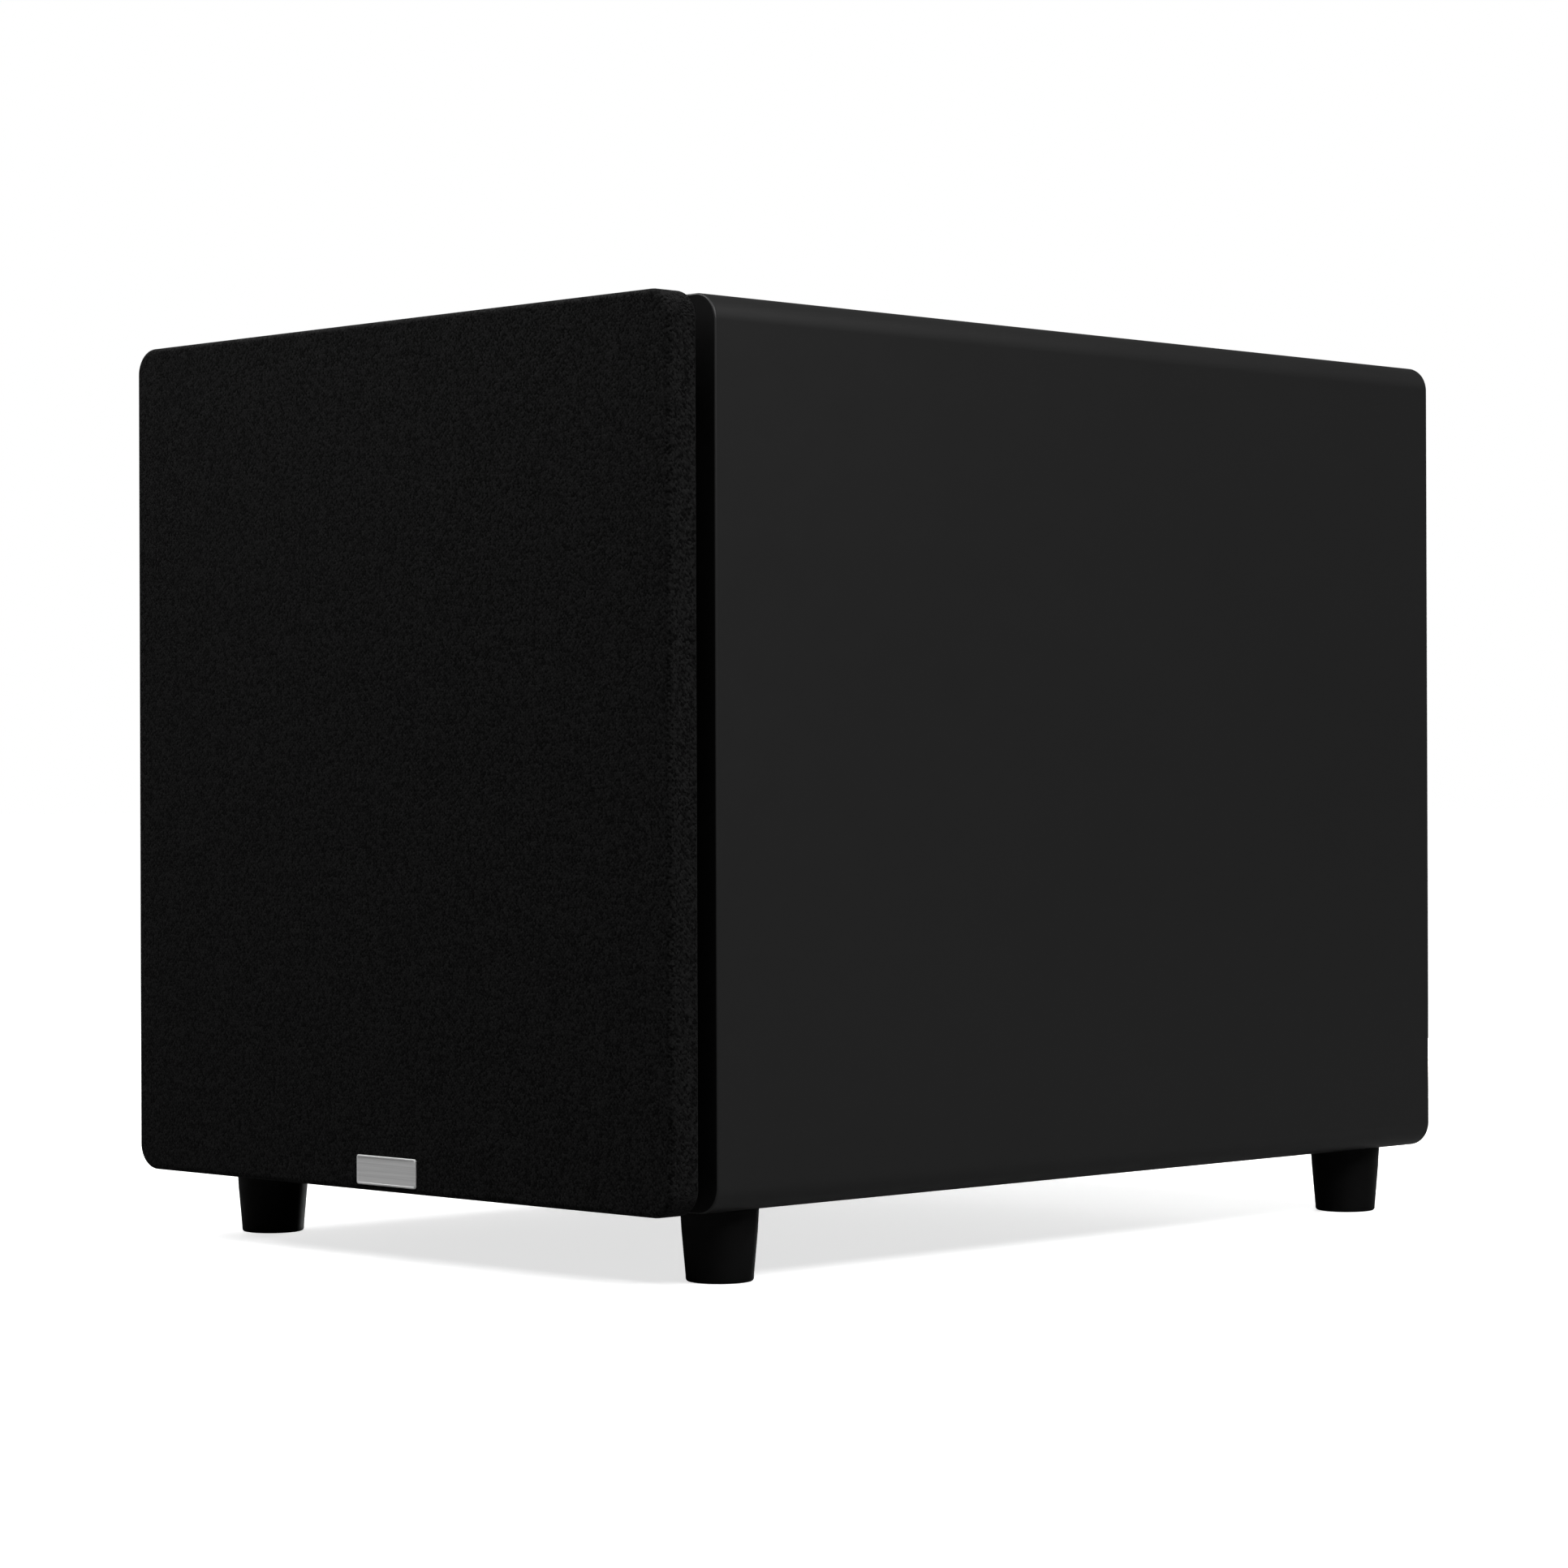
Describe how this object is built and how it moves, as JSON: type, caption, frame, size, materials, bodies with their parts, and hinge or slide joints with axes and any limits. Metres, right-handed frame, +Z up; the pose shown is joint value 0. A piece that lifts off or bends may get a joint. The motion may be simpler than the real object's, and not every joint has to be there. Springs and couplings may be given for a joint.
{
  "type": "powered subwoofer",
  "caption": "Boxy powered subwoofer: dark cabinet on tapered feet, removable black cloth grille over a hidden woofer, bottom port and a rear amplifier panel.",
  "frame": {"origin": "on the floor, under the middle of the object's bounding box", "axes": "+Z up, -Y out of the grille, +X to the right seen from the front"},
  "size_m": [0.37, 0.536, 0.422],
  "materials": {
    "lacquered_board": "satin charcoal lacquer over MDF",
    "black_board": "matt black paint over MDF",
    "raw_board": "bare MDF",
    "wadding": "loose polyester fibre",
    "black_plastic": "fine-textured moulded ABS",
    "red_plastic": "moulded ABS",
    "foot_rubber": "satin moulded rubber",
    "soft_rubber": "soft matt rubber",
    "cast_basket": "black powder coat",
    "contact_metal": "plated contacts",
    "plated_steel": "zinc plate",
    "ferrite": "sintered ferrite",
    "cone_pulp": "coated pulp",
    "copper": "enamelled copper wire",
    "spider_cloth": "resin-dipped corrugated cloth",
    "grille_cloth": "fine black knitted cloth",
    "badge_metal": "satin silver, blank",
    "painted_plate": "fine-textured black powder coat",
    "anodised_aluminium": "black anodised",
    "circuit_board": "green solder mask",
    "capacitor_sleeve": "shrink sleeve",
    "led_lens": "tinted lens"
  },
  "bodies": {
    "cabinet": {"cabinet_shell": "lacquered_board", "front_baffle": "black_board", "rear_panel": "lacquered_board", "window_brace": "raw_board", "wadding": "wadding", "port_tube": "black_plastic", "foot_front_left": "foot_rubber", "foot_front_right": "foot_rubber", "foot_rear_left": "foot_rubber", "foot_rear_right": "foot_rubber", "driver_basket": "cast_basket", "driver_gasket": "soft_rubber", "driver_terminals": "contact_metal", "top_plate": "plated_steel", "ring_magnet": "ferrite", "pole_yoke": "plated_steel", "grille_socket_top_left": "soft_rubber", "grille_socket_top_right": "soft_rubber", "grille_socket_bottom_left": "soft_rubber", "grille_socket_bottom_right": "soft_rubber", "amp_plate": "painted_plate", "amp_gasket": "soft_rubber", "heat_sink": "anodised_aluminium", "control_board": "circuit_board", "volume_pot": "plated_steel", "crossover_pot": "plated_steel", "status_led": "led_lens", "line_jacks": "black_plastic", "terminal_block": "black_plastic", "mains_inlet": "black_plastic", "switch_bezel": "black_plastic", "amp_board": "circuit_board", "reservoir_capacitor_left": "capacitor_sleeve", "reservoir_capacitor_right": "capacitor_sleeve", "transformer": "copper", "transformer_bolt": "plated_steel", "driver_lead": "soft_rubber"},
    "cone": {"cone": "cone_pulp", "dust_cap": "cone_pulp", "voice_coil": "copper", "surround": "soft_rubber", "spider": "spider_cloth"},
    "grille": {"grille_frame": "black_board", "grille_cloth": "grille_cloth", "cloth_fold": "grille_cloth", "badge": "badge_metal", "grille_peg_top_left": "black_plastic", "grille_peg_top_right": "black_plastic", "grille_peg_bottom_left": "black_plastic", "grille_peg_bottom_right": "black_plastic"},
    "volume_knob": {"volume_knob": "black_plastic"},
    "crossover_knob": {"crossover_knob": "black_plastic"},
    "phase_slider": {"phase_slider": "black_plastic"},
    "mode_slider": {"mode_slider": "black_plastic"},
    "power_rocker": {"power_rocker": "black_plastic"},
    "fuse_drawer": {"fuse_drawer": "black_plastic"},
    "terminal_lever_1": {"terminal_lever_1": "red_plastic"},
    "terminal_lever_2": {"terminal_lever_2": "black_plastic"},
    "terminal_lever_3": {"terminal_lever_3": "red_plastic"},
    "terminal_lever_4": {"terminal_lever_4": "black_plastic"}
  },
  "joints": [
    {"name": "cone_travel", "type": "slide", "parent": "cabinet", "child": "cone", "axis": [0, -1, 0], "range_m": [-0.012, 0.012], "stiffness_N_per_m": 3000, "deforming": ["surround", "spider"]},
    {"name": "grille_pull", "type": "slide", "parent": "cabinet", "child": "grille", "axis": [0, -1, 0], "range_m": [0, 0.12]},
    {"name": "volume_turn", "type": "hinge", "parent": "cabinet", "child": "volume_knob", "pos_m": [0.084, 0.2595, 0.35], "axis": [0, 1, 0], "range_deg": [-150, 150]},
    {"name": "crossover_turn", "type": "hinge", "parent": "cabinet", "child": "crossover_knob", "pos_m": [0.038, 0.2595, 0.35], "axis": [0, 1, 0], "range_deg": [-150, 150]},
    {"name": "phase_slide", "type": "slide", "parent": "cabinet", "child": "phase_slider", "axis": [1, 0, 0], "range_m": [0, 0.0045]},
    {"name": "mode_slide", "type": "slide", "parent": "cabinet", "child": "mode_slider", "axis": [1, 0, 0], "range_m": [0, 0.0045]},
    {"name": "power_rock", "type": "hinge", "parent": "cabinet", "child": "power_rocker", "pos_m": [0.024, 0.256, 0.122], "axis": [1, 0, 0], "range_deg": [-20, 0]},
    {"name": "fuse_slide", "type": "slide", "parent": "cabinet", "child": "fuse_drawer", "axis": [0, 1, 0], "range_m": [0, 0.012]},
    {"name": "lever_1_press", "type": "hinge", "parent": "cabinet", "child": "terminal_lever_1", "pos_m": [-0.0905, 0.26, 0.308], "axis": [1, 0, 0], "range_deg": [-20, 0], "stiffness_Nm_per_rad": 0.02, "springref_deg": 20.05},
    {"name": "lever_2_press", "type": "hinge", "parent": "cabinet", "child": "terminal_lever_2", "pos_m": [-0.0715, 0.26, 0.308], "axis": [1, 0, 0], "range_deg": [-20, 0], "stiffness_Nm_per_rad": 0.02, "springref_deg": 20.05},
    {"name": "lever_3_press", "type": "hinge", "parent": "cabinet", "child": "terminal_lever_3", "pos_m": [-0.0525, 0.26, 0.308], "axis": [1, 0, 0], "range_deg": [-20, 0], "stiffness_Nm_per_rad": 0.02, "springref_deg": 20.05},
    {"name": "lever_4_press", "type": "hinge", "parent": "cabinet", "child": "terminal_lever_4", "pos_m": [-0.0335, 0.26, 0.308], "axis": [1, 0, 0], "range_deg": [-20, 0], "stiffness_Nm_per_rad": 0.02, "springref_deg": 20.05}
  ]
}
